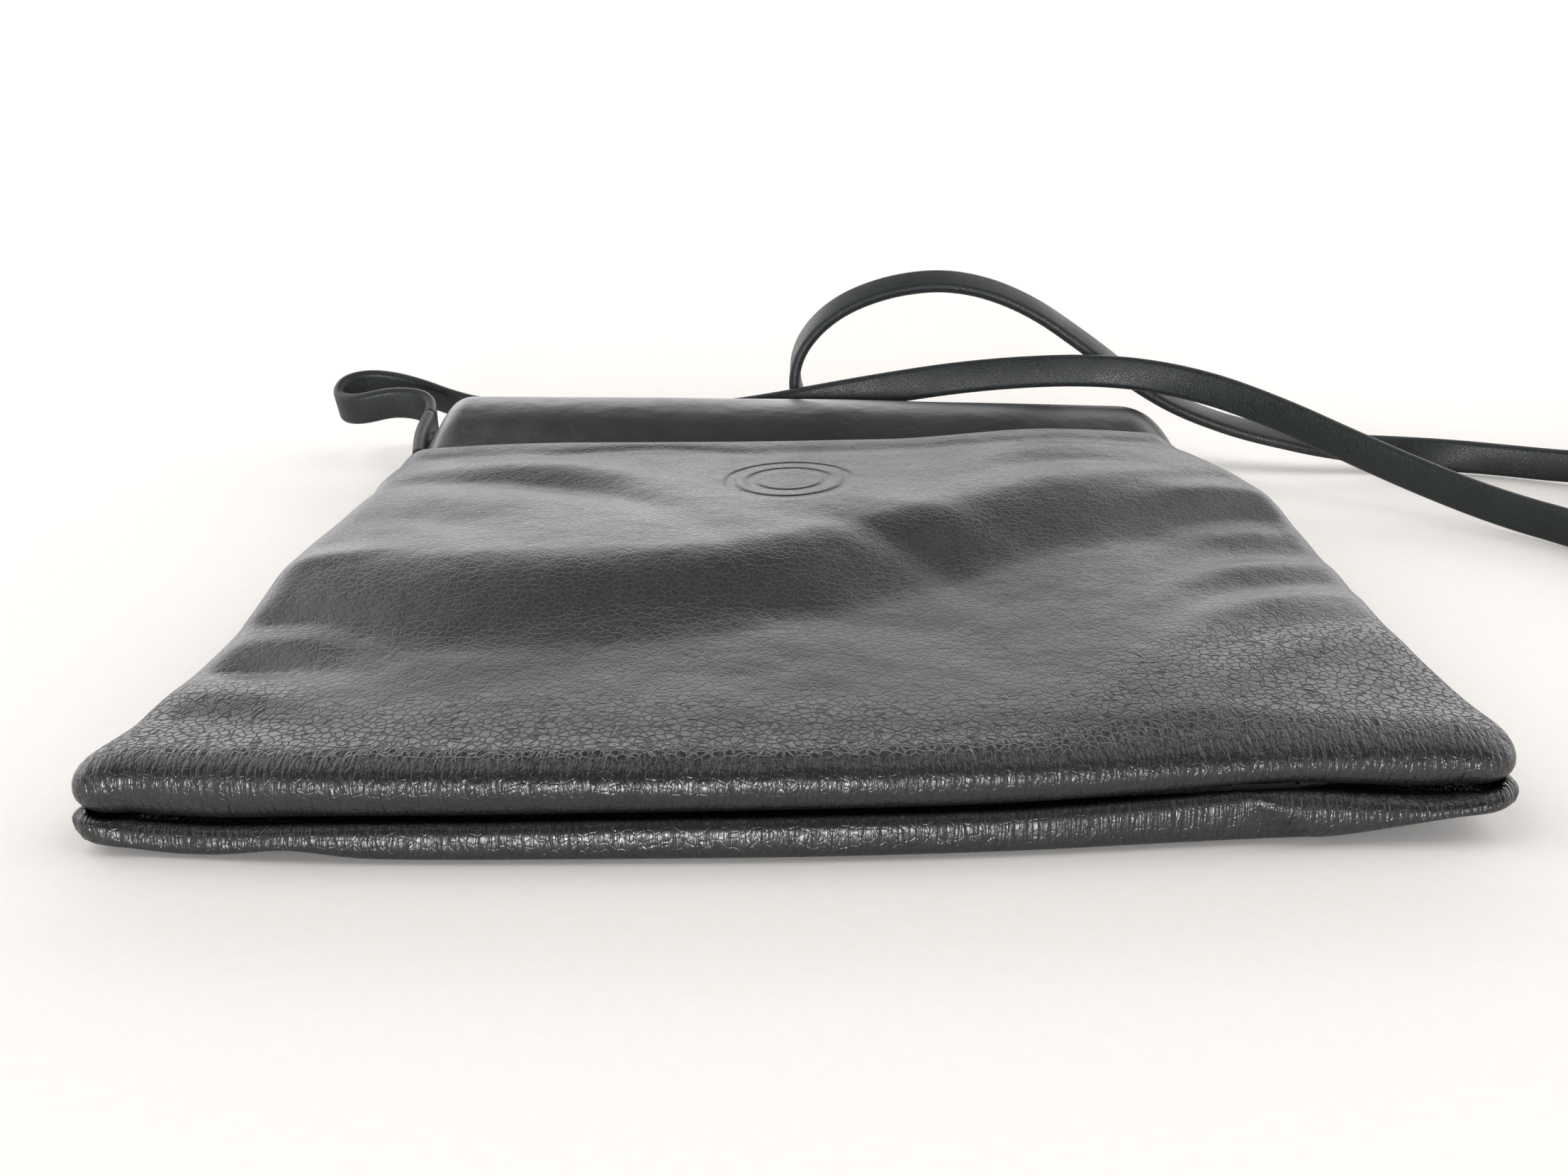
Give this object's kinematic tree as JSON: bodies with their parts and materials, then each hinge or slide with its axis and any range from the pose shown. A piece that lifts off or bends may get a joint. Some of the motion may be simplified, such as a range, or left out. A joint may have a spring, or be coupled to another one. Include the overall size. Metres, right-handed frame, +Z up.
{
  "type": "neck pouch wallet",
  "caption": "Flat padded leather pouch with a spring-frame mouth along its top edge and a long flat leather neck strap, lying on its back.",
  "frame": {"origin": "middle of the footprint of the pouch lying on its back panel, on the table; the strap isn't counted", "axes": "+X across the width of the pouch, +Y from the bottom seam to the mouth, +Z up out of the front panel"},
  "size_m": [0.2949, 0.144, 0.0343],
  "materials": {
    "nappa_leather": "soft grained nappa, slight sheen",
    "strap_leather": "smooth finished strap leather",
    "lining_cloth": "woven lining",
    "wadding": "soft non-woven wadding",
    "spring_steel": "tempered strip, dull",
    "thread": "bonded polyester thread",
    "tie_band": "woven elastic band"
  },
  "bodies": {
    "pouch": {"back_panel": "nappa_leather", "front_panel": "nappa_leather", "back_wadding": "wadding", "front_wadding": "wadding", "back_lining": "lining_cloth", "front_lining": "lining_cloth", "back_casing": "nappa_leather", "back_spring_strip": "spring_steel", "left_frame_pin": "spring_steel", "right_frame_pin": "spring_steel", "seam_stitching": "thread", "back_casing_stitching": "thread", "left_strap_end": "strap_leather", "right_strap_end": "strap_leather", "strap_end_stitching": "thread", "strap_left_run": "strap_leather", "strap_right_run": "strap_leather", "strap_coil": "strap_leather", "strap_tie": "tie_band"},
    "front_lip": {"front_panel_top": "nappa_leather", "front_wadding_top": "wadding", "front_lining_top": "lining_cloth", "front_casing": "nappa_leather", "front_casing_stitching": "thread", "front_spring_strip": "spring_steel"}
  },
  "joints": [
    {"name": "mouth_open", "type": "hinge", "parent": "pouch", "child": "front_lip", "pos_m": [0, 0.0133, 0.013], "axis": [1, 0, 0], "range_deg": [0, 22], "stiffness_Nm_per_rad": 0.3, "springref_deg": -2.86, "deforming": ["front_spring_strip"]}
  ]
}
